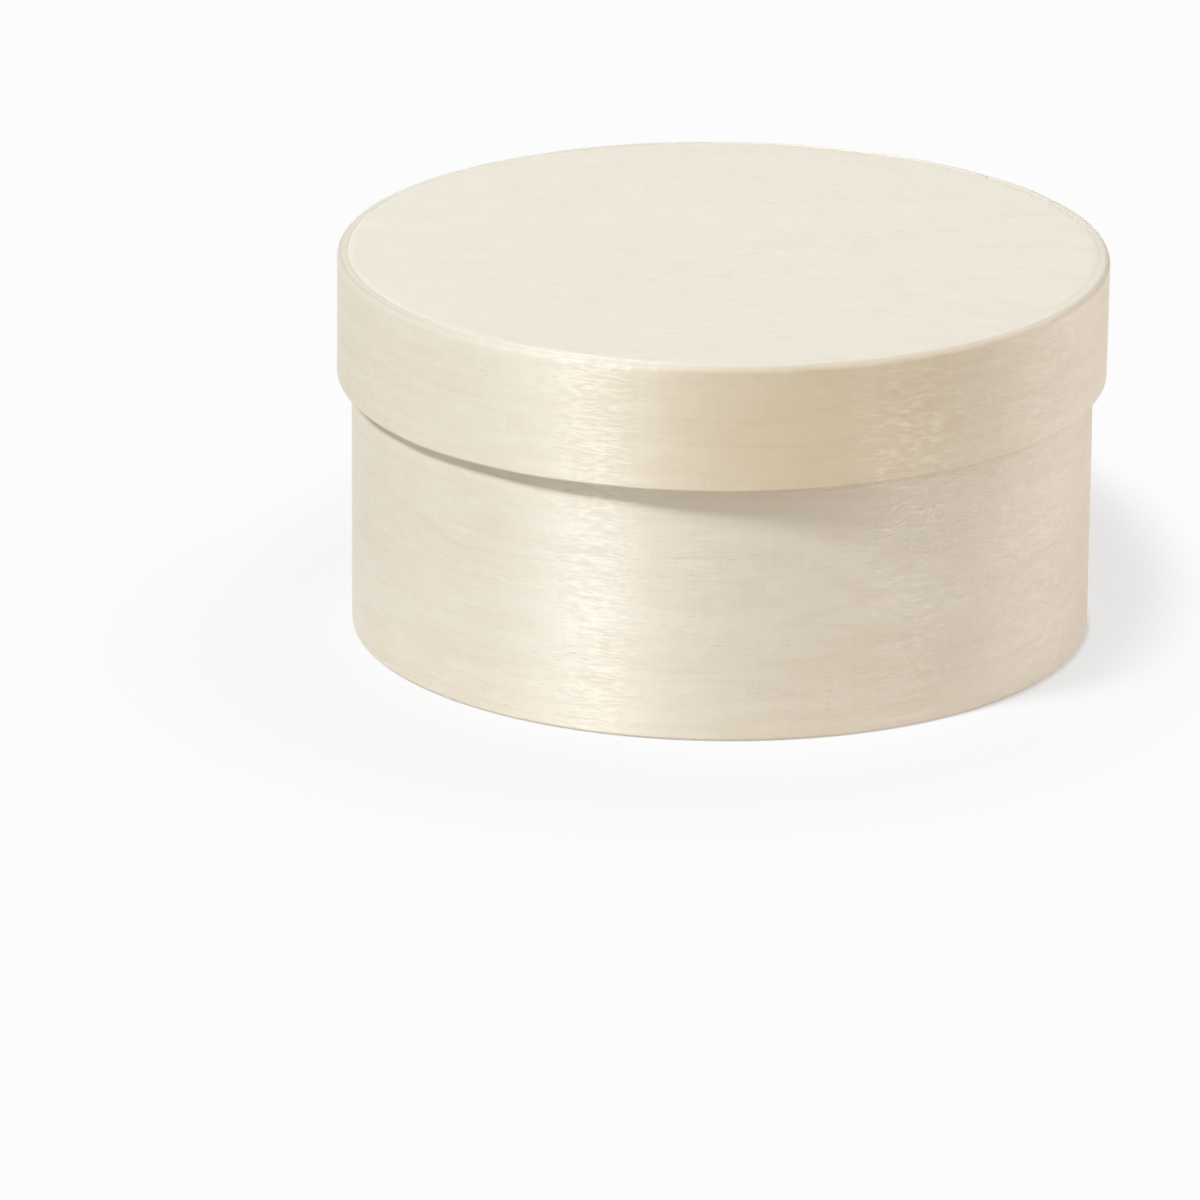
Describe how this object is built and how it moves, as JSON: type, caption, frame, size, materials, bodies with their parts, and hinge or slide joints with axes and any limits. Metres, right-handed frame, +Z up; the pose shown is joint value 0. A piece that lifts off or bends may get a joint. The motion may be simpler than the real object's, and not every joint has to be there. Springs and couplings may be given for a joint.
{
  "type": "round veneer cheese box",
  "caption": "Round box of bent wood veneer: a hoop with a base disc set in it, and a wider, shallow lid of the same make that drops over it.",
  "frame": {"origin": "centre of the base's underside, on the surface that the box stands on", "axes": "+Z up, along the axis of the hoops; -Y towards the front; the laps of the hoops are at the back"},
  "size_m": [0.11, 0.11, 0.0553],
  "materials": {
    "hoop_veneer": "bare, planed and lightly sanded, silky along the grain",
    "disc_veneer": "bare, sanded smooth, fine flecks",
    "dried_glue": "clear amber, slightly glossy"
  },
  "bodies": {
    "box": {"box_hoop": "hoop_veneer", "base_disc": "disc_veneer", "base_glue_ring": "dried_glue", "box_lap_glue": "dried_glue"},
    "lid_carrier": {"lid_glue_ring": "dried_glue"},
    "lid": {"lid_hoop": "hoop_veneer", "lid_disc": "disc_veneer", "lid_lap_glue": "dried_glue"}
  },
  "joints": [
    {"name": "lid_lift", "type": "slide", "parent": "box", "child": "lid_carrier", "axis": [0, 0, 1], "range_m": [0, 0.08]},
    {"name": "lid_turn", "type": "hinge", "parent": "lid_carrier", "child": "lid", "pos_m": [0, 0, 0.0541], "axis": [0, 0, 1], "continuous": true}
  ]
}
